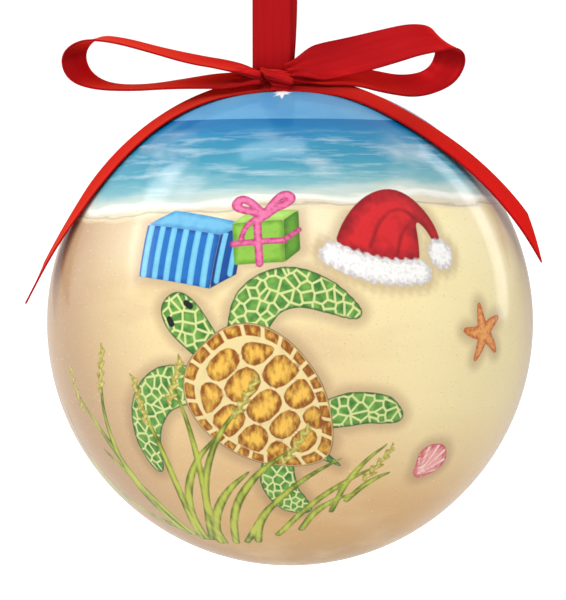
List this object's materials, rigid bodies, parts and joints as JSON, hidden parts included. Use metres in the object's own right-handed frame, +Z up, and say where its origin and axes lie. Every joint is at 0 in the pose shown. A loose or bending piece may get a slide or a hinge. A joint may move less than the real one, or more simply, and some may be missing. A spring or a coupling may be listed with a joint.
{
  "type": "hanging ball ornament",
  "caption": "Hollow paper ball ornament with a printed, lacquered skin, hung from a satin ribbon loop on a wire staple, with a ribbon bow and tails at its crown.",
  "frame": {"origin": "inside of the top of the hanging loop, where a hook or twig holds it", "axes": "+Z up along the hanging loop, +X along the bow to the right of the picture, +Y to the back; the picture faces -Y"},
  "size_m": [0.0804, 0.076, 0.1236],
  "materials": {
    "paper_pulp": "moulded paper pulp, matt",
    "grey_card": "rolled card, matt",
    "front_print": "printed paper under a thick clear lacquer, glossy",
    "back_print": "printed paper under a thick clear lacquer, glossy",
    "pale_wood": "turned, unfinished",
    "bright_wire": "drawn wire, bright",
    "red_satin": "woven satin ribbon, lustrous"
  },
  "bodies": {
    "hanger": {"hanging_loop": "red_satin"},
    "ball": {"top_shell": "paper_pulp", "bottom_shell": "paper_pulp", "joining_band": "grey_card", "front_picture": "front_print", "back_picture": "back_print", "crown_plug": "pale_wood", "hanger_staple": "bright_wire", "bow_knot": "red_satin"},
    "left_bow": {"bow_loop_left": "red_satin"},
    "right_bow": {"bow_loop_right": "red_satin"},
    "left_tail": {"tail_left": "red_satin"},
    "right_tail": {"tail_right": "red_satin"}
  },
  "joints": [
    {"name": "ball_swing", "type": "hinge", "parent": "hanger", "child": "ball", "pos_m": [0, 0, -0.046], "axis": [1, 0, 0], "range_deg": [-10, 80]},
    {"name": "left_bow_flex", "type": "hinge", "parent": "ball", "child": "left_bow", "pos_m": [-0.00349, -0.00407, -0.04612], "axis": [0.4226, 0.9063, 0], "range_deg": [0, 35], "stiffness_Nm_per_rad": 0.0005},
    {"name": "right_bow_flex", "type": "hinge", "parent": "ball", "child": "right_bow", "pos_m": [0.00411, -0.00407, -0.04562], "axis": [0.4082, -0.8754, -0.2588], "range_deg": [0, 35], "stiffness_Nm_per_rad": 0.0005},
    {"name": "left_tail_lift", "type": "hinge", "parent": "ball", "child": "left_tail", "pos_m": [-0.003, -0.00407, -0.04721], "axis": [-0.0958, 0.9954, 0], "range_deg": [0, 6], "stiffness_Nm_per_rad": 0.0005},
    {"name": "right_tail_lift", "type": "hinge", "parent": "ball", "child": "right_tail", "pos_m": [0.00389, -0.00411, -0.0468], "axis": [-0.1478, -0.989, 0], "range_deg": [0, 6], "stiffness_Nm_per_rad": 0.0005}
  ]
}
